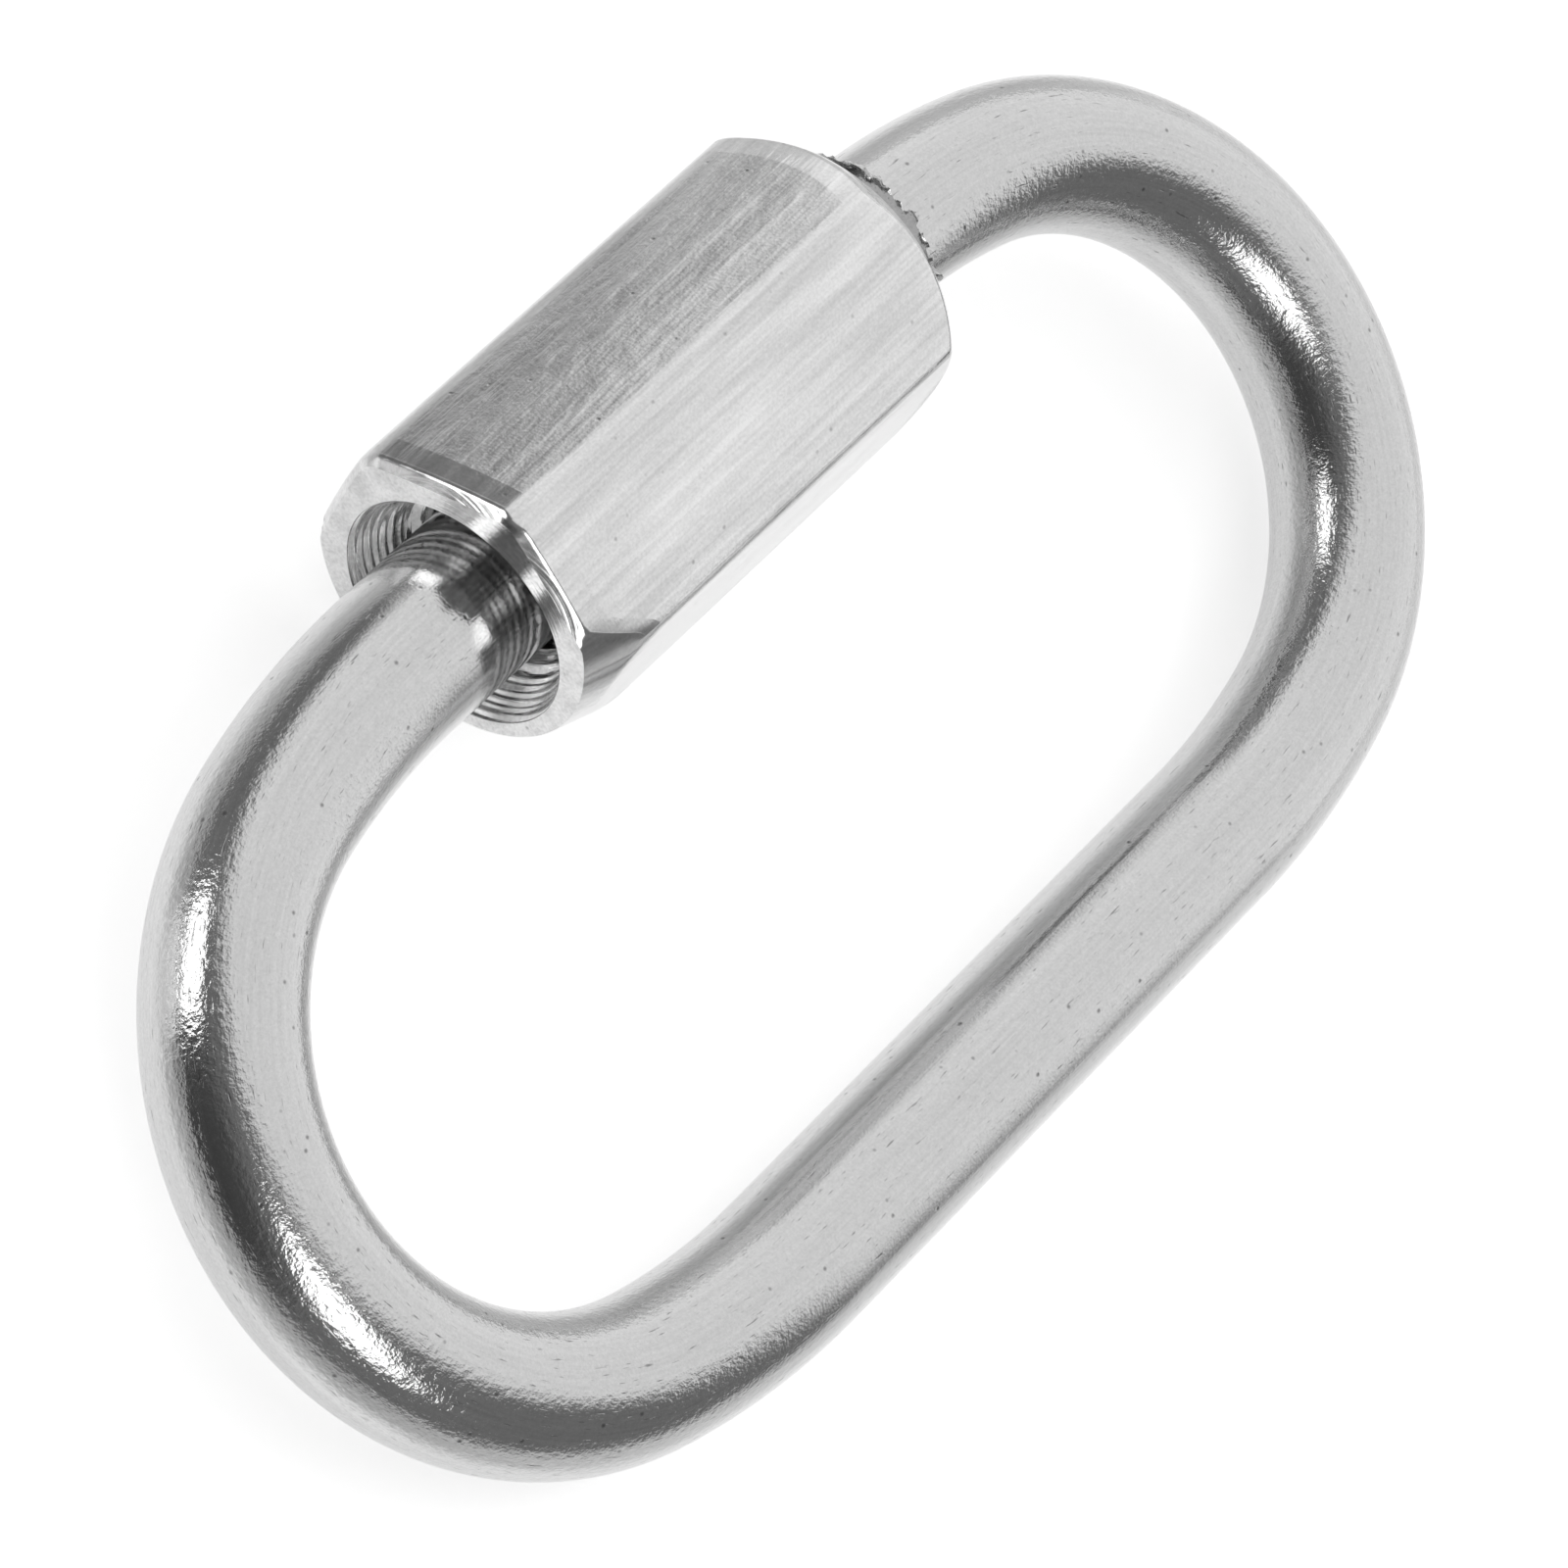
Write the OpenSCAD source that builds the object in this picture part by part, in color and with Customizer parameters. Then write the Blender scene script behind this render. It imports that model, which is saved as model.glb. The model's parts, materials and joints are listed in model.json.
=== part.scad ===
// Chain quick link: a round rod bent to an oval loop, with a gap in one long side that a
// hexagon sleeve nut bridges. Both rod ends are threaded, and the nut screws along them.
// The link lies as it comes to rest, on its plain side and on one edge of the nut.
// X runs along the nut, Y points to the nut's side and Z is up. Millimetres.

/* [Rod loop] */
// Diameter of the straight rod
rod_d = 4.6; // [4.2:0.1:4.9]
// How much thinner each tighter bend leaves the rod, on its diameter
bend_draw = 0.04; // [0.03:0.01:0.08]
// Length of the loop over its two ends
loop_length = 50; // [49.5:0.5:60]
// Width of the loop over its straight sides, measured on the plain rod
loop_width = 24.6; // [23.6:0.2:25.4]
// Bend radius where a straight side runs into an end, to the middle of the rod
shoulder_r = 22; // [20:0.5:40]
// Angle of that first, wider bend
shoulder_angle = 15; // [10:1:17]

/* [Rod ends] */
// Diameter over the threads
thread_d = 6; // [5.6:0.1:6.6]
// Thread pitch
thread_pitch = 1; // [0.75:0.05:1]
// Length of thread on the long end, which always carries the nut
long_thread = 6; // [4:0.5:7]
// Length of the cone in which a thread runs out into the plain rod
thread_runout = 0.5; // [0.3:0.05:0.8]
// Chamfer at the tip of each threaded end
tip_chamfer = 0.6; // [0.2:0.05:0.7]
// Thread that shows past the closed nut
thread_show = 0.1; // [0:0.05:0.3]
// Plain straight rod between the short end's thread and the bend
plain_land = 0.15; // [0.1:0.05:0.6]
// Free gap between the two rod ends
gate_gap = 4.8; // [4:0.1:5.2]

/* [Sleeve nut] */
// Length of the nut
nut_length = 16.7; // [15:0.1:17.3]
// Width across the flats
nut_flats = 9; // [8.6:0.1:11]
// How much the rounded edges take off the width across the corners
edge_round = 0.3; // [0.1:0.05:0.6]
// How much smaller than the flats the round end faces are
face_inset = 0.4; // [0.1:0.05:0.8]
// Length of the turned end rounding along the nut's edges
end_round_length = 0.9; // [0.5:0.05:1.5]
// Running clearance between thread and nut, on the radius
thread_clearance = 0.05; // [0.02:0.01:0.1]
// How much wider than the bore its countersunk mouths are
mouth_flare = 1.6; // [0.5:0.05:1.7]
// Depth of the countersink
mouth_depth = 0.5; // [0.4:0.05:1.2]
// Turns of the nut from closed to open
open_turns = 8; // [6:1:8]
// Turn of the hexagon: angle of its first edge above the plane of the loop
nut_turn = 5.4; // [0:0.2:15]

/* [Hidden] */
$fn = 96;

// Loop: the middle line is two straights joined by ends of three arcs, wide, narrow, wide
rod_r = rod_d / 2;
shoulder_d = rod_d - bend_draw;
nose_d = shoulder_d - bend_draw;
half_width = loop_width / 2 - rod_r;
nose_r = shoulder_r - (shoulder_r - half_width) / cos(shoulder_angle);
nose_in = (shoulder_r - nose_r) * sin(shoulder_angle);
half_straight = loop_length / 2 - nose_d / 2 - nose_r - nose_in;
// Angle by which each bend reaches into the thicker rod before it
bend_lap = 1;

// Places along the nut's axis with the nut closed, from the middle of the loop
nut_right = half_straight - plain_land - thread_runout - thread_show;
nut_left = nut_right - nut_length;
nut_travel = open_turns * thread_pitch;
long_tip = nut_right - nut_travel;
short_tip = long_tip + gate_gap;
short_thread = nut_right + thread_show - short_tip;

// Nut: a cylinder trims its edges, a ball at each end rounds them off, its bore clears the thread
edge_r = (nut_flats / cos(30) - edge_round) / 2;
face_r = (nut_flats - face_inset) / 2;
ball_in = (edge_r * edge_r - face_r * face_r + end_round_length * end_round_length) / (2 * end_round_length);
ball_r = norm([ball_in, face_r]);
bore_r = thread_d / 2 + thread_clearance;
mouth_r = bore_r + mouth_flare / 2;

// Rest: the loop tips about X until the nut's lowest edge is level with the plain side
edge_land = 30 - acos(nut_flats / 2 / edge_r);
low_edge = nut_turn + 240 + edge_land;
low_y = 2 * half_width + edge_r * cos(low_edge);
low_z = edge_r * sin(low_edge);
rest_tilt = -atan2(low_z, low_y) - asin(rod_r / norm([low_y, low_z]));
rest_height = rod_r + half_width * sin(rest_tilt);
outer_reach = edge_r * cos(nut_turn + rest_tilt - edge_land);
rest_y = (rod_r - outer_reach) / 2;

// Places the loop, drawn flat about its own middle, as it lies at rest
module at_rest() {
    translate([0, rest_y, rest_height]) rotate([rest_tilt, 0, 0]) children();
}

// One arc of the bent rod about a centre in the plane of the loop
module bend(centre, radius, start, angle, d) {
    translate(centre) rotate([0, 0, start])
        rotate_extrude(angle = angle) translate([radius, 0]) circle(d = d);
}

// Right-hand end of the loop, from the plain side round to the nut's side
module loop_end() {
    shoulder_y = shoulder_r - half_width;
    shoulder_sweep = shoulder_angle + bend_lap;
    nose_start = shoulder_angle - 90 - bend_lap;
    bend([half_straight, shoulder_y], shoulder_r, -90 - bend_lap, shoulder_sweep, shoulder_d);
    bend([half_straight + nose_in, 0], nose_r, nose_start, -2 * nose_start, nose_d);
    bend([half_straight, -shoulder_y], shoulder_r, 90 - shoulder_angle, shoulder_sweep, shoulder_d);
}

// Straight rod end along +Z: plain, then the thread's run-out, thread and tip chamfer
module threaded_end(length, thread_length) {
    thread_r = thread_d / 2;
    thread_start = length - thread_length;
    rotate_extrude() polygon([
        [0, 0],
        [rod_r, 0],
        [rod_r, thread_start - thread_runout],
        [thread_r, thread_start],
        [thread_r, length - tip_chamfer],
        [thread_r - tip_chamfer, length],
        [0, length]
    ]);
}

// The bent and threaded rod
module link_body() {
    color("silver") at_rest() {
        translate([-half_straight, -half_width, 0]) rotate([0, 90, 0])
            cylinder(d = rod_d, h = 2 * half_straight);
        translate([-half_straight, half_width, 0]) rotate([0, 90, 0])
            threaded_end(half_straight + long_tip, long_thread);
        translate([half_straight, half_width, 0]) rotate([0, -90, 0])
            threaded_end(half_straight - short_tip, short_thread);
        for (side = [0, 1]) mirror([side, 0, 0]) loop_end();
    }
}

// What turning takes off the nut's end at the origin: a ring outside the ball
module end_cut() {
    difference() {
        translate([0, 0, -end_round_length]) cylinder(r = nut_flats, h = 3 * end_round_length);
        translate([0, 0, ball_in]) sphere(r = ball_r);
    }
}

// Bore through the nut along +Z, countersunk at both mouths
module nut_bore() {
    rotate_extrude() polygon([
        [0, 0],
        [mouth_r, 0],
        [bore_r, mouth_depth],
        [bore_r, nut_length - mouth_depth],
        [mouth_r, nut_length],
        [0, nut_length]
    ]);
}

// The hexagon sleeve nut, closed over the gap
module sleeve_nut() {
    color("gainsboro") at_rest()
        translate([nut_left, half_width, 0]) rotate([nut_turn, 0, 0]) rotate([0, 90, 0])
            difference() {
                intersection() {
                    rotate([0, 0, 30]) cylinder(d = nut_flats / cos(30), h = nut_length, $fn = 6);
                    cylinder(r = edge_r, h = nut_length);
                }
                end_cut();
                translate([0, 0, nut_length]) mirror([0, 0, 1]) end_cut();
                nut_bore();
            }
}

link_body();
sleeve_nut();
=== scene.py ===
"""A chain quick link: bent and threaded stainless rod with a hexagon sleeve nut, on a white floor.

Shapes are worked out in millimetres in the loop's own frame (X along the nut, Y to the nut's side,
Z square to the loop, origin in the loop's middle) and then laid down as the link comes to rest.
"""
import json
import math

import bpy
import numpy as np
from mathutils import Matrix, Vector


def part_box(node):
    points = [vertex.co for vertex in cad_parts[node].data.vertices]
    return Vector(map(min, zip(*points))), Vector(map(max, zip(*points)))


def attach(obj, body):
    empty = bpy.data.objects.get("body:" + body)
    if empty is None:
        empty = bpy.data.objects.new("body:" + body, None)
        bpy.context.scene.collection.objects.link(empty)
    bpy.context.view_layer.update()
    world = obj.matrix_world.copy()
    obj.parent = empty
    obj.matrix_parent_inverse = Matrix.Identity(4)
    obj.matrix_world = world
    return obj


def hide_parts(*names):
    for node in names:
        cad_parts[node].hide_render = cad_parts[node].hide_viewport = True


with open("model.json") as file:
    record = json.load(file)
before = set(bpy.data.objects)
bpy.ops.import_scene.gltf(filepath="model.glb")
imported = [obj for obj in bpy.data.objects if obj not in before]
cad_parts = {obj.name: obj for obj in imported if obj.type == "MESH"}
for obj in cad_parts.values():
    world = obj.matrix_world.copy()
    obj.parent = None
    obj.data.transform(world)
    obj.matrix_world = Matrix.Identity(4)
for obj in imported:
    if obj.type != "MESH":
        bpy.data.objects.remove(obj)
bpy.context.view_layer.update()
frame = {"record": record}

MM = 0.001

# Sizes of the rod loop, in millimetres, as the solids have them
ROD_R = 2.3
BEND_DRAW = 0.02
HALF_WIDTH = 10.0
HALF_LENGTH = 25.0
SHOULDER_R = 22.0
SHOULDER = math.radians(15)
NOSE_R = SHOULDER_R - (SHOULDER_R - HALF_WIDTH) / math.cos(SHOULDER)
NOSE_IN = (SHOULDER_R - NOSE_R) * math.sin(SHOULDER)
HALF_STRAIGHT = HALF_LENGTH - (ROD_R - 2 * BEND_DRAW) - NOSE_R - NOSE_IN

# Rod ends and their metric 6 x 1 threads; the two flats are shares of the sharp thread's height
PITCH = 1.0
THREAD_R = 3.0
THREAD_DEPTH = 0.613
ROOT_FLAT = 0.25
CREST_FLAT = 0.125
RUNOUT = 0.5
TIP_CHAMFER = 0.6
LONG_THREAD = 6.0
GATE = 4.8
TRAVEL = 8.0
# The short end's thread was rolled a little past where the bend starts, and tore there
SHORT_THREAD = 4.62
SHORT_RUNOUT = 0.3
TEAR = 0.07
TEAR_WAVES = ((9, 0.5), (17, 2), (26, 1), (37, 4))

# Sleeve nut; each end's rings run on a little past its turned edge
NUT_FLAT = 4.5
EDGE_FILLET = 1.0
FLAT_CROWN = 0.07
TURN_LAP = 0.1
BORE_CREST = 2.7
BORE_ROOT = 3.08
RELIEF_R = 3.2
RELIEF_TAPER = 0.3
# Right end: turned as part of a ball, with a short and wide countersink
FACE_R = 4.3
BALL_IN = 4.324
RIGHT_ROUND = 0.12
MOUTH_R = 3.85
MOUTH_TAPER = 1.6
# Left end: turned off centre as a steep cone, whose face reaches furthest in one direction
LEFT_FACE_R = 4.45
LEFT_FACE_SHIFT = 0.45
LEFT_FACE_TURN = math.radians(35)
LEFT_SLOPE = 3.6
LEFT_ROUND = 0.05
DEBURR = 0.26
# The left end's countersink is deeper, and its tool chattered and left grooves
LEFT_MOUTH_R = 3.6
LEFT_TAPER = 0.42
LEFT_SINK = 1.3
GROOVE_GAP = 0.22
GROOVE_DEPTH = 0.035
GROOVE_WANDER = 0.04
GROOVE_SWELL = 0.5
SWELL_PER_MM = 17.0

# Rings of the meshes: they stand close where there are threads and grooves
THREAD_STEP = 0.055
PLAIN_STEP = 0.36
GROOVE_STEP = 0.02
LEAST_STEP = 0.004
BORE_RINGS = 280
BODY_RINGS = 24
SHARP_EDGE = math.radians(35)

# Where the solids put the nut and the loop
mounts = {mount["name"]: mount for mount in frame["record"]["mounts"]}
nut_low, nut_high = (np.array(corner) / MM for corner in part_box("sleeve_nut"))
NUT_LEFT, NUT_RIGHT = nut_low[0], nut_high[0]
LONG_TIP = NUT_RIGHT - TRAVEL
SHORT_TIP = LONG_TIP + GATE
bows = np.array([mounts["bow_left"]["pos_m"], mounts["bow_right"]["pos_m"]])
LOOP_MIDDLE = bows.mean(axis=0) / MM
REST_TILT = math.asin((LOOP_MIDDLE[2] - ROD_R) / HALF_WIDTH)
flat_axis = mounts["spanner_flat"]["axis"]
TOP_FLAT = math.atan2(flat_axis[2], flat_axis[1]) - REST_TILT


def turn_to_rest(vectors):
    """Directions of the loop's frame in the row frame: turned about X by the rest tilt."""
    v = np.asarray(vectors, dtype=float)
    cos, sin = math.cos(REST_TILT), math.sin(REST_TILT)
    y = v[..., 1] * cos - v[..., 2] * sin
    z = v[..., 1] * sin + v[..., 2] * cos
    return np.stack([v[..., 0], y, z], axis=-1)


def lay_down(points):
    """Points of the loop's frame, in mm, as they lie in the row frame, in metres."""
    return (turn_to_rest(points) + LOOP_MIDDLE) * MM


def linear(code):
    """Linear RGBA of an sRGB hex colour: each channel through the sRGB curve."""
    channels = np.array([int(code[i:i + 2], 16) for i in (1, 3, 5)]) / 255
    low, high = channels / 12.92, ((channels + 0.055) / 1.055) ** 2.4
    return (*np.where(channels <= 0.04045, low, high), 1.0)


def smooth_min(a, b, width):
    """The lower of two heights, with their corner rounded by a parabola of the given width."""
    return np.minimum(a, b) - np.maximum(width - np.abs(a - b), 0) ** 2 / (4 * width)


def ring_surface(name, rings, looped, attributes):
    """Mesh of a grid of rings: quads join each ring to the next, round a ring and along the rings.

    A looped grid joins its last ring to its first; any other is closed by a fan to each end's middle.
    """
    rows, around = rings.shape[:2]
    index = np.arange(rows * around).reshape(rows, around)
    turned = np.roll(index, -1, axis=1)
    joins = rows if looped else rows - 1
    near, near_turned = index[:joins], turned[:joins]
    far, far_turned = np.roll(index, -1, axis=0)[:joins], np.roll(turned, -1, axis=0)[:joins]
    faces = np.stack([near, far, far_turned, near_turned], axis=-1).reshape(-1, 4).tolist()
    points = rings.reshape(-1, 3)
    values = {key: np.asarray(value).reshape(rows * around, -1) for key, value in attributes.items()}
    if not looped:
        first, last = rows * around, rows * around + 1
        points = np.concatenate([points, rings[0].mean(axis=0)[None], rings[-1].mean(axis=0)[None]])
        fan_first = np.stack([np.full(around, first), index[0], turned[0]], axis=-1)
        fan_last = np.stack([np.full(around, last), turned[-1], index[-1]], axis=-1)
        faces += fan_first.tolist() + fan_last.tolist()
        for key, value in values.items():
            ends = value.reshape(rows, around, -1)[[0, -1]].mean(axis=1)
            values[key] = np.concatenate([value, ends])
    mesh = bpy.data.meshes.new(name)
    mesh.from_pydata(lay_down(points).tolist(), [], faces)
    mesh.polygons.foreach_set("use_smooth", np.ones(len(faces), dtype=bool))
    mesh.set_sharp_from_angle(angle=SHARP_EDGE)
    for key, value in values.items():
        vector = value.shape[1] == 3
        layer = mesh.attributes.new(key, "FLOAT_VECTOR" if vector else "FLOAT", "POINT")
        layer.data.foreach_set("vector" if vector else "value", value.astype(np.float32).ravel())
    mesh.update()
    piece = bpy.data.objects.new(name, mesh)
    bpy.context.scene.collection.objects.link(piece)
    return piece


def flank_height(x, angle):
    """Height on a right-hand thread's flank at x and angle: 0 at the root's flat and 1 at the crest's.

    The sharp triangle rises and falls once in each pitch; the two flats' shares are taken off its height.
    """
    turns = x / PITCH - angle / (2 * np.pi)
    sharp = 1 - np.abs(2 * (turns - np.floor(turns)) - 1)
    return (sharp - ROOT_FLAT) / (1 - ROOT_FLAT - CREST_FLAT)


def thread_radius(x, angle):
    """Radius of the outside thread: its flanks, cut flat at the root and on top."""
    return THREAD_R - THREAD_DEPTH + THREAD_DEPTH * np.clip(flank_height(x, angle), 0, 1)


def bore_radius(x, angle):
    """Radius of the nut's inside thread: the outside thread's flanks moved out by the clearance."""
    flank = THREAD_R - THREAD_DEPTH + THREAD_DEPTH * flank_height(x, angle)
    return np.clip(flank + BORE_ROOT - THREAD_R, BORE_CREST, BORE_ROOT)


def rod_rings(around=156):
    """Rings of the bent rod from the long tip to the short one, with each ring's place on the bar.

    The middle line's heading is a straight-line function of arc length between the bends' ends, and its
    points are summed chords. A ring is P + r (cos a M + sin a Z), with M the outward side of the bend.
    On an end, r is the lowest of the thread's, the tip chamfer's and the run-out's, a cone down to the
    plain rod. The short end's run-out is moved along the bar by a sum of sines of a, which tears its edge.
    """
    nose_turn = math.pi - 2 * SHOULDER
    end_lengths = [SHOULDER_R * SHOULDER, NOSE_R * nose_turn, SHOULDER_R * SHOULDER]
    end_turns = [SHOULDER, nose_turn, SHOULDER]
    lengths = [HALF_STRAIGHT + LONG_TIP, *end_lengths, 2 * HALF_STRAIGHT, *end_lengths,
               HALF_STRAIGHT - SHORT_TIP]
    turns = [0, *end_turns, 0, *end_turns, 0]
    knots = np.concatenate([[0], np.cumsum(lengths)])
    heading_knots = math.pi + np.concatenate([[0], np.cumsum(turns)])
    total = knots[-1]
    margin = 0.1
    long_end = LONG_THREAD + RUNOUT + margin
    short_start = total - SHORT_THREAD - RUNOUT - margin
    tip = TIP_CHAMFER * np.array([0, 0.02, 0.06, 0.5, 0.94, 1, 1.06])
    past_tip = TIP_CHAMFER + 0.05
    stations = np.concatenate([
        knots[1:-1],
        tip,
        total - tip,
        np.arange(past_tip, long_end, THREAD_STEP),
        np.arange(long_end, short_start, PLAIN_STEP),
        np.arange(short_start, total - TIP_CHAMFER, THREAD_STEP)])
    s = np.unique(np.round(stations, 4))
    s = s[np.concatenate([[True], np.diff(s) > LEAST_STEP])]
    heading = np.interp(s, knots, heading_knots)
    turn = np.diff(heading)
    chord = np.diff(s) * np.sinc(turn / (2 * np.pi))
    middle = (heading[1:] + heading[:-1]) / 2
    x = LONG_TIP + np.concatenate([[0], np.cumsum(chord * np.cos(middle))])
    y = HALF_WIDTH + np.concatenate([[0], np.cumsum(chord * np.sin(middle))])
    angle = np.linspace(0, 2 * np.pi, around, endpoint=False)
    drawn = np.interp(s, knots[1:-1], [0, 1, 1, 0, 0, 1, 1, 0])
    plain = (ROD_R - 2 * BEND_DRAW * drawn)[:, None]
    on_long_end = s < total / 2
    from_tip = np.where(on_long_end, s, total - s)[:, None]
    thread_end = np.where(on_long_end, LONG_THREAD, SHORT_THREAD)[:, None]
    fade = np.where(on_long_end, RUNOUT, SHORT_RUNOUT)[:, None]
    tear = sum(np.sin(waves * angle + phase) for waves, phase in TEAR_WAVES)
    torn = np.where(on_long_end, 0, TEAR)[:, None] * tear
    runout = np.clip((thread_end + fade - from_tip + torn) / fade, 0, 1)
    crest = plain + (THREAD_R - plain) * runout
    envelope = np.minimum(crest, THREAD_R - TIP_CHAMFER + from_tip)
    bar_x = np.where(on_long_end, LONG_TIP - s, SHORT_TIP + total - s)[:, None]
    radius = np.where(runout > 0, np.minimum(thread_radius(bar_x, angle), envelope), plain)
    out = np.stack([np.sin(heading), -np.cos(heading), np.zeros_like(s)], axis=-1)
    up = np.array([0, 0, 1.0])
    path = np.stack([x, y, np.zeros_like(s)], axis=-1)
    across = np.cos(angle)[None, :, None] * out[:, None] + np.sin(angle)[None, :, None] * up
    rings = path[:, None] + radius[..., None] * across
    along = np.broadcast_to(s[:, None], radius.shape)
    bar = np.stack([along, radius * np.cos(angle), radius * np.sin(angle)], axis=-1)
    bent = np.broadcast_to(drawn[:, None], radius.shape)
    return rings, bar, bent


def hexagon(flat_steps=16, fillet_steps=6):
    """Section of the drawn hexagon bar: crowned flats joined by fillets, one side turned to six places."""
    fillet_middle = NUT_FLAT - EDGE_FILLET
    half = fillet_middle * math.tan(math.pi / 6)
    flat = np.linspace(-half, half, flat_steps, endpoint=False)
    bend = np.linspace(0, math.pi / 6, fillet_steps + 1)
    start, stop = -bend[:0:-1], bend[:-1]
    out = np.concatenate([fillet_middle + EDGE_FILLET * np.cos(start), np.full(flat_steps, NUT_FLAT),
                          fillet_middle + EDGE_FILLET * np.cos(stop)])
    side = np.concatenate([-half + EDGE_FILLET * np.sin(start), flat, half + EDGE_FILLET * np.sin(stop)])
    crown = FLAT_CROWN * (1 - np.minimum(np.abs(side) / half, 1) ** 2)
    out = out - FLAT_CROWN + crown
    places = TOP_FLAT + np.arange(6)[:, None] * math.pi / 3
    y = (np.cos(places) * out - np.sin(places) * side).ravel()
    z = (np.sin(places) * out + np.cos(places) * side).ravel()
    return np.hypot(y, z), np.arctan2(z, y)


def nut_rings():
    """Rings of the sleeve nut, a closed tour: the outside, the left end, the bore and the right end.

    Outside, the radius is the rounded lower of the hexagon's and the turned end's at that depth: a ball's
    on the right, and on the left a cone's with a deburred edge. The cone starts from a circle off centre,
    so the left face is nearly a full hexagon on top, a circle below, and narrow on the loop's side. Inside,
    the radius is the highest of the thread's, a relief's and the countersink's. The left countersink's
    grooves are a squared sine of depth, which wanders round the bore and swells by a second sine.
    """
    hexagon_r, angle = hexagon()
    length = NUT_RIGHT - NUT_LEFT
    steps = np.array([0, 0.03, 0.08, 0.18, 0.34, 0.5, 0.66, 0.78, 0.86, 0.92, 0.97, 1.0])[:, None]
    left_face = LEFT_FACE_R + LEFT_FACE_SHIFT * np.cos(angle - LEFT_FACE_TURN)
    left_cut = np.maximum(LEFT_SLOPE * (hexagon_r - left_face), DEBURR) + TURN_LAP
    left_depth = steps * left_cut
    left_cone = np.minimum(left_face + left_depth / LEFT_SLOPE, hexagon_r - DEBURR + left_depth)
    left_r = smooth_min(left_cone, hexagon_r, LEFT_ROUND)
    ball_r = math.hypot(BALL_IN, FACE_R)
    right_cut = BALL_IN - np.sqrt(ball_r ** 2 - hexagon_r ** 2) + TURN_LAP
    right_depth = steps * right_cut
    right_ball = np.sqrt(ball_r ** 2 - (BALL_IN - right_depth) ** 2)
    right_r = smooth_min(right_ball, hexagon_r, RIGHT_ROUND)
    share = np.linspace(0, 1, BODY_RINGS)[1:-1, None]
    body_x = (length - right_cut) * (1 - share) + left_cut * share
    body_r = np.broadcast_to(hexagon_r, body_x.shape)
    inward = np.array([0.02, 0.06, 0.3, 0.6, 0.9, 0.97])[:, None]
    left_face_r = left_r[0] * (1 - inward) + LEFT_MOUTH_R * inward
    right_face_r = right_r[0] * (1 - inward) + MOUTH_R * inward
    face_x = np.zeros_like(left_face_r)
    grooved_x = np.arange(0, LEFT_SINK, GROOVE_STEP)
    threaded_x = np.linspace(LEFT_SINK, length - 0.08, BORE_RINGS)
    bore_x = np.concatenate([grooved_x, threaded_x, [length - 0.03, length]])[:, None]
    depth = np.minimum(bore_x, length - bore_x)
    thread = bore_radius(NUT_LEFT + bore_x, angle)
    chatter = depth + GROOVE_WANDER * np.cos(2 * angle + 1)
    swell = 1 + GROOVE_SWELL * np.sin(SWELL_PER_MM * chatter)
    groove = GROOVE_DEPTH * np.sin(np.pi * chatter / GROOVE_GAP) ** 2 * swell
    left_countersink = LEFT_MOUTH_R - LEFT_TAPER * depth + groove
    right_countersink = MOUTH_R - MOUTH_TAPER * depth
    countersink = np.where(bore_x < length / 2, left_countersink, right_countersink)
    mouth = np.maximum(countersink, RELIEF_R - RELIEF_TAPER * depth)
    bore_r = np.maximum(thread, mouth)
    x = np.concatenate([length - right_depth, body_x, left_depth[::-1], face_x,
                        np.broadcast_to(bore_x, bore_r.shape), face_x + length])
    r = np.concatenate([right_r, body_r, left_r[::-1], left_face_r, bore_r, right_face_r[::-1]])
    turned = np.ones_like(r)
    turned[len(right_r):len(right_r) + len(body_r)] = 0
    y, z = r * np.cos(angle), r * np.sin(angle)
    rings = np.stack([NUT_LEFT + x, HALF_WIDTH + y, z], axis=-1)
    bar = np.stack([x, y, z], axis=-1)
    return rings, bar, turned


def add_node(tree, kind, sockets=None, **settings):
    """Adds a node: settings are its properties, sockets its inputs, by name or place, as values or links.

    Map Range's places are 0 for the value, 1 and 2 for the range it comes from, 3 and 4 for its new one.
    """
    node = tree.nodes.new(kind)
    for key, value in settings.items():
        setattr(node, key, value)
    for key, value in (sockets or {}).items():
        if isinstance(value, bpy.types.NodeSocket):
            tree.links.new(value, node.inputs[key])
        else:
            node.inputs[key].default_value = value
    return node


def new_material(name):
    """An empty material with a node tree and its output node."""
    material = bpy.data.materials.new(name)
    material.use_nodes = True
    material.node_tree.nodes.clear()
    output = add_node(material.node_tree, "ShaderNodeOutputMaterial")
    return material, material.node_tree, output


def marks_along(tree, bar, length, width, detail, roughness=0.5):
    """Noise drawn out along the bar: its places in mm are divided by the marks' length and width."""
    scale = (1 / length, 1 / width, 1 / width)
    place = add_node(tree, "ShaderNodeVectorMath", {0: bar, 1: scale}, operation="MULTIPLY").outputs[0]
    noise = add_node(tree, "ShaderNodeTexNoise", {"Vector": place, "Scale": 1.0, "Detail": detail,
                                                  "Roughness": roughness})
    return noise.outputs["Fac"]


def weighted_sum(tree, parts):
    """Sum of a node tree's values, each times its weight."""
    total = 0.0
    for value, weight in parts:
        node = add_node(tree, "ShaderNodeMath", {0: value, 1: weight, 2: total}, operation="MULTIPLY_ADD")
        total = node.outputs[0]
    return total


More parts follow.
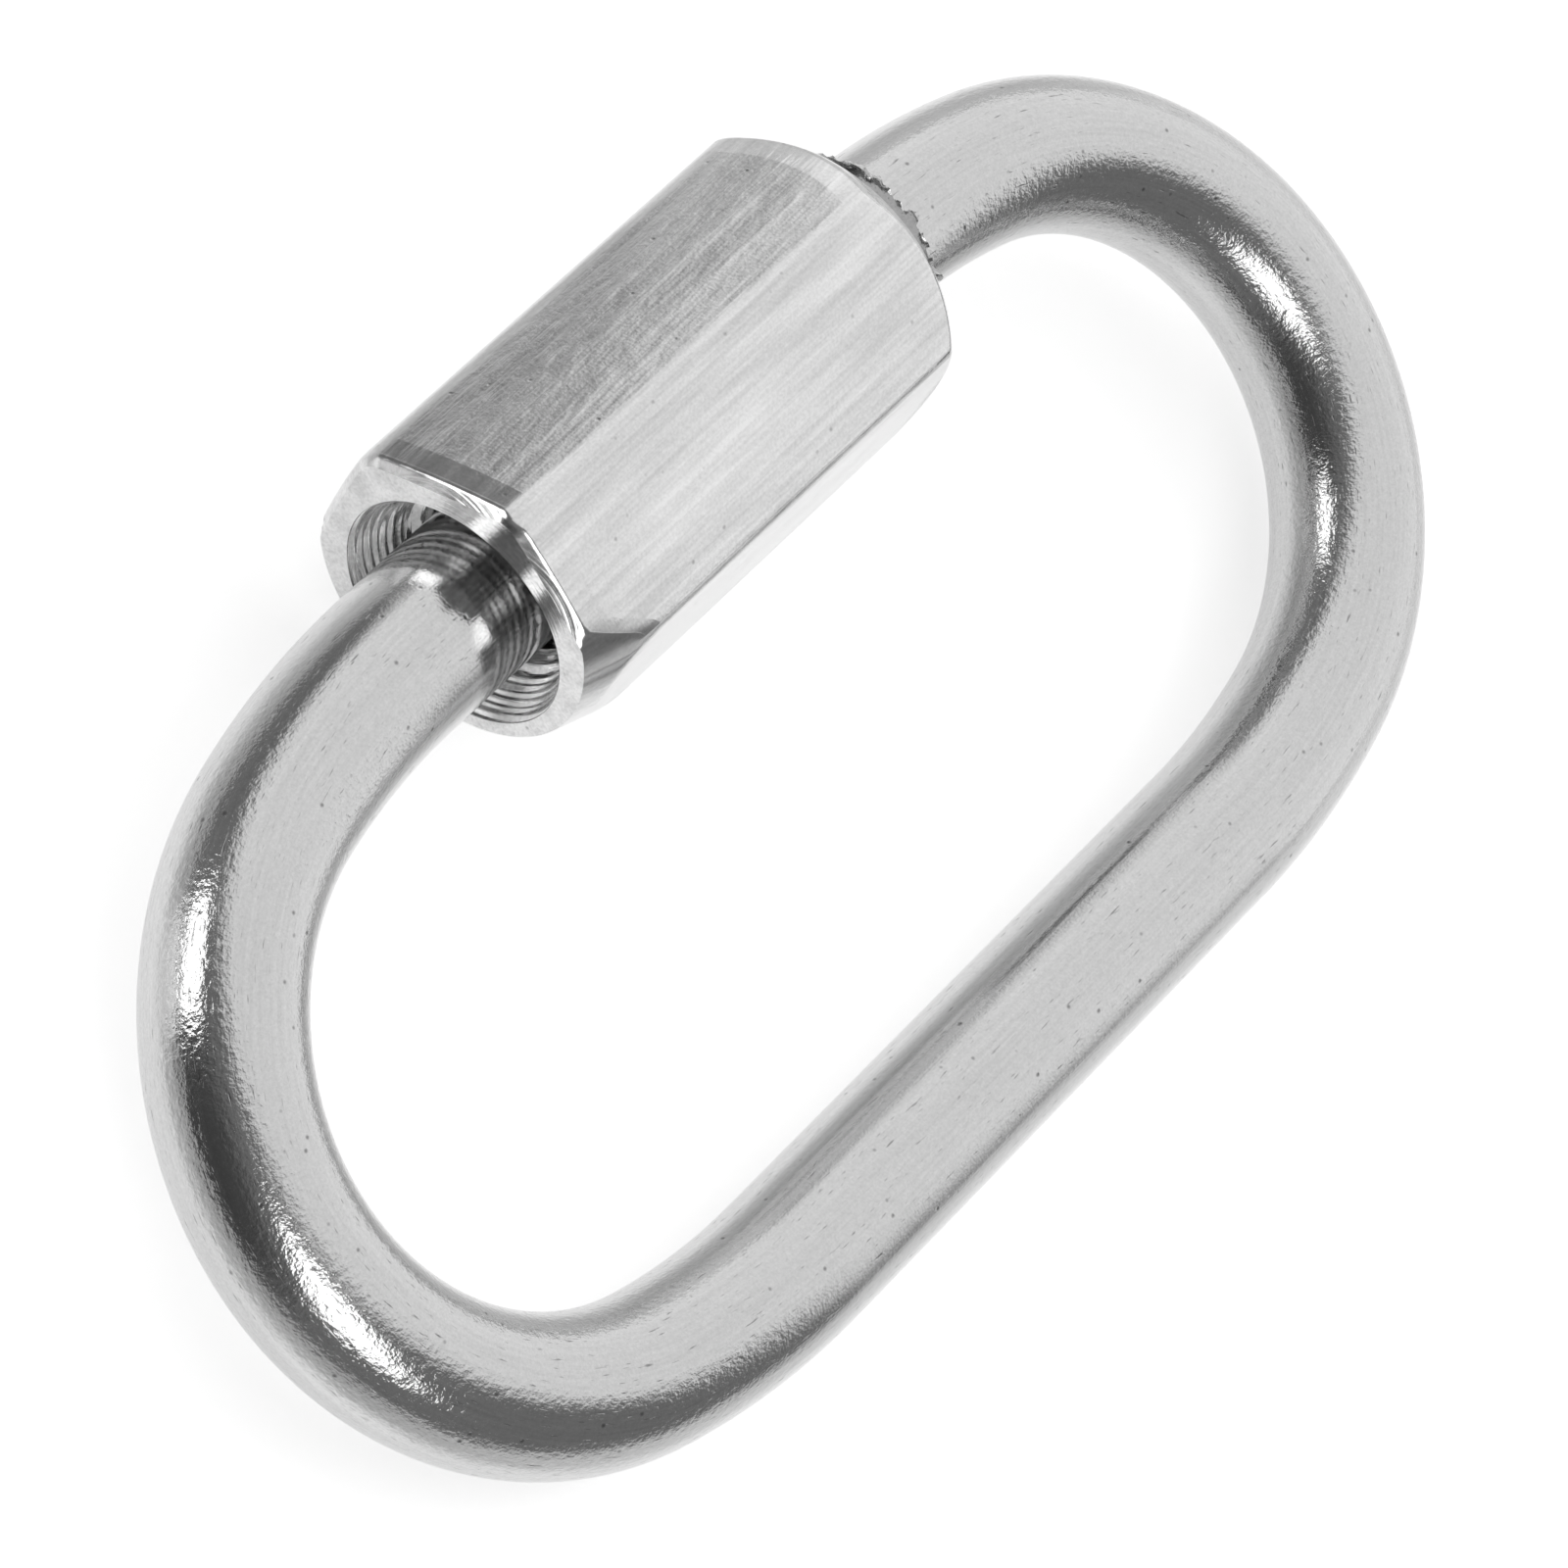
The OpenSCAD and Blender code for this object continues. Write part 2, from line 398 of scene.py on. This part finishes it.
def bare_steel(tree, output, tint, shades, flaws, rough, relief):
    """Bare steel: tint goes from its darker to its brighter shade, flaws to the third; relief is in mm."""
    darker, brighter, flawed = (linear(shade) for shade in shades)
    steel = add_node(tree, "ShaderNodeMix", {"Factor": tint, "A": darker, "B": brighter}, data_type="RGBA")
    colour = add_node(tree, "ShaderNodeMix", {"Factor": flaws, "A": steel.outputs["Result"], "B": flawed},
                      data_type="RGBA")
    bump = add_node(tree, "ShaderNodeBump", {"Strength": 1.0, "Distance": MM, "Height": relief})
    shader = add_node(tree, "ShaderNodeBsdfPrincipled", {"Metallic": 1.0, "Roughness": rough,
                                                         "Base Color": colour.outputs["Result"],
                                                         "Normal": bump.outputs[0]})
    tree.links.new(shader.outputs[0], output.inputs["Surface"])


def polished_drawn_rod():
    """Stainless rod, drawn and then tumbled bright.

    It gives soft mirror bands along the bar, broken by draw lines, a fine grain, and small dark pits.
    """
    material, tree, output = new_material("stainless_rod_drawn_and_tumbled")
    bar = add_node(tree, "ShaderNodeAttribute", attribute_name="bar").outputs["Vector"]
    bent = add_node(tree, "ShaderNodeAttribute", attribute_name="bent").outputs["Fac"]
    # Draw lines: 4 mm long and 0.12 mm wide
    lines = marks_along(tree, bar, 4, 0.12, detail=3.0, roughness=0.6)
    # Orange peel where the rod was bent: 0.2 mm
    peel = add_node(tree, "ShaderNodeTexNoise", {"Vector": bar, "Scale": 1 / 0.2, "Detail": 2.0})
    # Tumbled grain: 0.08 mm
    grain = add_node(tree, "ShaderNodeTexNoise", {"Vector": bar, "Scale": 1 / 0.08, "Detail": 2.0})
    # Pits: about 0.1 mm wide, in cells of 0.85 mm
    cells = add_node(tree, "ShaderNodeTexVoronoi", {"Vector": bar, "Scale": 1 / 0.85}).outputs["Distance"]
    pits = add_node(tree, "ShaderNodeMapRange", {0: cells, 1: 0.03, 2: 0.1, 3: 0.7, 4: 0.0})
    # Flecks: dark scratches 0.5 mm long and 0.08 mm wide
    scratches = marks_along(tree, bar, 0.5, 0.08, detail=1.0)
    flecks = add_node(tree, "ShaderNodeMapRange", {0: scratches, 1: 0.68, 2: 0.82, 3: 0.0, 4: 0.65})
    flaws = add_node(tree, "ShaderNodeMath", {0: pits.outputs[0], 1: flecks.outputs[0]}, operation="MAXIMUM")
    # Relief in millimetres; bending raises the peel and the grain
    peel_depth = add_node(tree, "ShaderNodeMapRange", {0: bent, 3: 0.002, 4: 0.017})
    grain_depth = add_node(tree, "ShaderNodeMapRange", {0: bent, 3: 0.003, 4: 0.008})
    relief = weighted_sum(tree, [(lines, 0.003), (peel.outputs["Fac"], peel_depth.outputs[0]),
                                 (grain.outputs["Fac"], grain_depth.outputs[0]), (flaws.outputs[0], -0.008)])
    rough = add_node(tree, "ShaderNodeMapRange", {0: lines, 1: 0.3, 2: 0.7, 3: 0.08, 4: 0.15})
    tone = weighted_sum(tree, [(peel.outputs["Fac"], 0.5), (lines, 1.0), (grain.outputs["Fac"], 1.0)])
    tint = add_node(tree, "ShaderNodeMapRange", {0: tone, 1: 0.8, 2: 1.7})
    shades = ("#C4C4C4", "#DADADA", "#5A5A5A")
    bare_steel(tree, output, tint.outputs[0], shades, flaws.outputs[0], rough.outputs[0], relief)
    return material


def bright_hexagon_bar():
    """Stainless hexagon bar, bright drawn, with turned ends.

    Its flats carry long draw lines and low, worm-like bumps that break a reflection's edge into streaks;
    the turned ends carry fine rings.
    """
    material, tree, output = new_material("stainless_hexagon_bar_bright_drawn")
    bar = add_node(tree, "ShaderNodeAttribute", attribute_name="bar").outputs["Vector"]
    turned = add_node(tree, "ShaderNodeAttribute", attribute_name="turned").outputs["Fac"]
    # Waves left by the die: 6 mm long and 0.8 mm wide
    waves = marks_along(tree, bar, 6, 0.8, detail=3.0)
    # Draw lines: 5 mm long and 0.15 mm wide
    lines = marks_along(tree, bar, 5, 0.15, detail=2.0)
    # Worm-like bumps: 0.8 mm long and 0.22 mm wide
    worms = marks_along(tree, bar, 0.8, 0.22, detail=1.0)
    # Grain of the pickled skin: 0.1 mm
    skin = add_node(tree, "ShaderNodeTexNoise", {"Vector": bar, "Scale": 1 / 0.1, "Detail": 2.0})
    grain = skin.outputs["Fac"]
    # Pits: about 0.1 mm wide, in cells of 0.8 mm
    cells = add_node(tree, "ShaderNodeTexVoronoi", {"Vector": bar, "Scale": 1 / 0.8}).outputs["Distance"]
    pits = add_node(tree, "ShaderNodeMapRange", {0: cells, 1: 0.02, 2: 0.1, 3: 0.5, 4: 0.0}).outputs[0]
    # Turning rings: 0.09 mm apart
    across = add_node(tree, "ShaderNodeVectorMath", {0: bar, 1: (0, 1, 1)}, operation="MULTIPLY").outputs[0]
    off_axis = add_node(tree, "ShaderNodeVectorMath", {0: across}, operation="LENGTH").outputs["Value"]
    rings = add_node(tree, "ShaderNodeTexNoise", {"W": off_axis, "Scale": 1 / 0.09, "Detail": 2.0},
                     noise_dimensions="1D")
    # Relief in millimetres
    flat_relief = weighted_sum(tree, [(lines, 0.007), (waves, 0.04), (worms, 0.01), (grain, 0.003),
                                      (pits, -0.01)])
    ring_relief = weighted_sum(tree, [(rings.outputs["Fac"], 0.006)])
    relief = add_node(tree, "ShaderNodeMix", {"Factor": turned, "A": flat_relief, "B": ring_relief})
    rough = add_node(tree, "ShaderNodeMapRange", {0: waves, 1: 0.3, 2: 0.7, 3: 0.1, 4: 0.18})
    tone = weighted_sum(tree, [(lines, 0.6), (waves, 1.0), (grain, 0.5)])
    tint = add_node(tree, "ShaderNodeMapRange", {0: tone, 1: 0.7, 2: 1.35})
    shades = ("#C4C4C4", "#EEEEEE", "#6A6A6A")
    bare_steel(tree, output, tint.outputs[0], shades, pits, rough.outputs[0], relief.outputs[0])
    return material


def white_acrylic_sheet():
    """White acrylic sheet on the table: it takes the soft shadow, and camera and steel see it white.

    Its polish mirrors the room at a flat angle, as acrylic's does. The glow the steel sees holds painted
    shade:
    it is lowered at a flat angle and on the nut's side, away from the light.
    """
    material, tree, output = new_material("white_acrylic_sheet")
    path = add_node(tree, "ShaderNodeLightPath").outputs
    place = add_node(tree, "ShaderNodeTexCoord").outputs["Object"]
    full = 0.83
    # Painted shade in the glow the steel sees: at a flat angle it darkens from the light's side to the
    # middle of the link
    away = add_node(tree, "ShaderNodeVectorMath", {0: place, 1: (-0.4, 0.9, 0)}, operation="DOT_PRODUCT")
    painted_shade_by_side = add_node(tree, "ShaderNodeMapRange", {0: away.outputs["Value"], 1: -15 * MM, 2: -1 * MM,
                                                    3: 0.54, 4: 0.02})
    facing = add_node(tree, "ShaderNodeLayerWeight", {"Blend": 0.5}).outputs["Facing"]
    fade = add_node(tree, "ShaderNodeMapRange", {0: facing, 1: 0.35, 2: 0.6, 3: full, 4: painted_shade_by_side.outputs[0]})
    # Painted shade in the glow the steel sees: past the nut it darkens at any angle
    across = add_node(tree, "ShaderNodeSeparateXYZ", {0: place}).outputs["Y"]
    edge = add_node(tree, "ShaderNodeMapRange", {0: across, 1: 14 * MM, 2: 22 * MM, 3: full, 4: 0.0})
    # The steel sees the glow with the lower of the two painted shades
    painted_shade_glow = add_node(tree, "ShaderNodeMath", {0: fade.outputs[0], 1: edge.outputs[0]}, operation="MINIMUM")
    glossy_glow_with_painted_shade = add_node(tree, "ShaderNodeMath", {0: path["Is Glossy Ray"], 1: painted_shade_glow.outputs[0]},
                        operation="MULTIPLY")
    seen = add_node(tree, "ShaderNodeMath", {0: path["Is Camera Ray"], 1: glossy_glow_with_painted_shade.outputs[0]},
                    operation="MAXIMUM")
    either = add_node(tree, "ShaderNodeMath", {0: seen.outputs[0], 1: path["Is Transmission Ray"]},
                      operation="MAXIMUM")
    lift = add_node(tree, "ShaderNodeMath", {0: either.outputs[0], 1: 0.6}, operation="MULTIPLY")
    white = add_node(tree, "ShaderNodeBsdfDiffuse", {"Color": linear("#F2F2F2")})
    glow = add_node(tree, "ShaderNodeEmission", {"Color": (1, 1, 1, 1), "Strength": lift.outputs[0]})
    body = add_node(tree, "ShaderNodeAddShader", {0: white.outputs[0], 1: glow.outputs[0]})
    polish = add_node(tree, "ShaderNodeBsdfGlossy", {"Roughness": 0.2})
    gloss = add_node(tree, "ShaderNodeFresnel", {"IOR": 1.49})
    shader = add_node(tree, "ShaderNodeMixShader", {0: gloss.outputs[0], 1: body.outputs[0],
                                                    2: polish.outputs[0]})
    tree.links.new(shader.outputs[0], output.inputs["Surface"])
    return material


rod_points, rod_bar, rod_bent = rod_rings()
rod = ring_surface("bent_threaded_rod", rod_points, False, {"bar": rod_bar, "bent": rod_bent})
rod.data.materials.append(polished_drawn_rod())
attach(rod, "link")
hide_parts("link_body")

nut_points, nut_bar, nut_turned = nut_rings()
nut = ring_surface("hexagon_sleeve_nut", nut_points, True, {"bar": nut_bar, "turned": nut_turned})
nut.data.materials.append(bright_hexagon_bar())
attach(nut, "nut")
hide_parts("sleeve_nut")

# Floor: one square, 3 m across
REACH = 1.5
corners = [(-REACH, -REACH, 0), (REACH, -REACH, 0), (REACH, REACH, 0), (-REACH, REACH, 0)]
sheet_mesh = bpy.data.meshes.new("floor_sheet")
sheet_mesh.from_pydata(corners, [], [(0, 1, 2, 3)])
sheet = bpy.data.objects.new("floor_sheet", sheet_mesh)
bpy.context.scene.collection.objects.link(sheet)
sheet.data.materials.append(white_acrylic_sheet())


def toward(azimuth, elevation):
    """Direction to a light, from its angles in degrees round the link and above the floor."""
    a, e = math.radians(azimuth), math.radians(elevation)
    return Vector((math.cos(e) * math.cos(a), math.cos(e) * math.sin(a), math.sin(e)))


def soft_patch(room, direction, azimuth, elevation, outer, inner):
    """A round patch of light on the room's walls: 1 within the inner angle, 0 outside the outer one."""
    facing = add_node(room, "ShaderNodeVectorMath", {0: direction, 1: toward(azimuth, elevation)},
                      operation="DOT_PRODUCT")
    edge, core = math.cos(math.radians(outer)), math.cos(math.radians(inner))
    patch = add_node(room, "ShaderNodeMapRange", {0: facing.outputs["Value"], 1: edge, 2: core},
                     interpolation_type="SMOOTHSTEP")
    return patch.outputs[0]


# Studio: a broad light wall on the side away from the camera and a soft light overhead, in a dim room
world = bpy.data.worlds.new("studio")
bpy.context.scene.world = world
world.use_nodes = True
room = world.node_tree
room.nodes.clear()
direction = add_node(room, "ShaderNodeTexCoord").outputs["Generated"]
light_wall = soft_patch(room, direction, azimuth=-1, elevation=12, outer=60, inner=49)
overhead = soft_patch(room, direction, azimuth=22, elevation=59, outer=56, inner=38)
dark_corner = soft_patch(room, direction, azimuth=168, elevation=15, outer=42, inner=8)
lit = add_node(room, "ShaderNodeMath", {0: light_wall, 1: overhead}, operation="MAXIMUM")
height = add_node(room, "ShaderNodeSeparateXYZ", {0: direction}).outputs["Z"]
bright = add_node(room, "ShaderNodeMapRange", {0: height, 3: 1.03, 4: 0.9})
dim = add_node(room, "ShaderNodeMapRange", {0: dark_corner, 3: 0.19, 4: 0.07})
level = add_node(room, "ShaderNodeMapRange", {0: lit.outputs[0], 3: dim.outputs[0], 4: bright.outputs[0]})
background = add_node(room, "ShaderNodeBackground", {"Color": (1, 1, 1, 1), "Strength": level.outputs[0]})
add_node(room, "ShaderNodeOutputWorld", {"Surface": background.outputs[0]})

LAMP_DISTANCE = 0.5


def soft_lamp(name, azimuth, elevation, width, height, watts):
    """A soft box at the lamps' distance in metres, turned to the link."""
    lamp = bpy.data.lights.new(name, "AREA")
    lamp.shape = "RECTANGLE"
    lamp.size, lamp.size_y, lamp.energy = width, height, watts
    place = LAMP_DISTANCE * toward(azimuth, elevation)
    holder = bpy.data.objects.new(name, lamp)
    holder.location = place
    holder.rotation_euler = place.to_track_quat("Z", "Y").to_euler()
    bpy.context.scene.collection.objects.link(holder)


soft_lamp("lamp_nut_side", azimuth=125, elevation=18, width=0.22, height=0.24, watts=0.36)
soft_lamp("lamp_camera_side", azimuth=-136, elevation=44, width=0.22, height=0.26, watts=0.36)

# Camera: where the photograph's stood, in the loop's frame, turned to the link
EYE = (-135.02, 64.57, 186.88)
AIM = (-1.465, 0.019, 0.0)
UP = (0.5098, 0.8314, 0.2209)
eye, aim = Vector(lay_down(EYE)), Vector(lay_down(AIM))
back = (eye - aim).normalized()
side = Vector(turn_to_rest(UP)).cross(back).normalized()
camera_data = bpy.data.cameras.new("camera")
camera_data.lens = 200
camera_data.clip_start = 0.01
camera = bpy.data.objects.new("camera", camera_data)
camera.matrix_world = Matrix.Translation(eye) @ Matrix((side, back.cross(side), back)).transposed().to_4x4()
bpy.context.scene.collection.objects.link(camera)
bpy.context.scene.camera = camera
bpy.context.scene.view_settings.view_transform = "Standard"
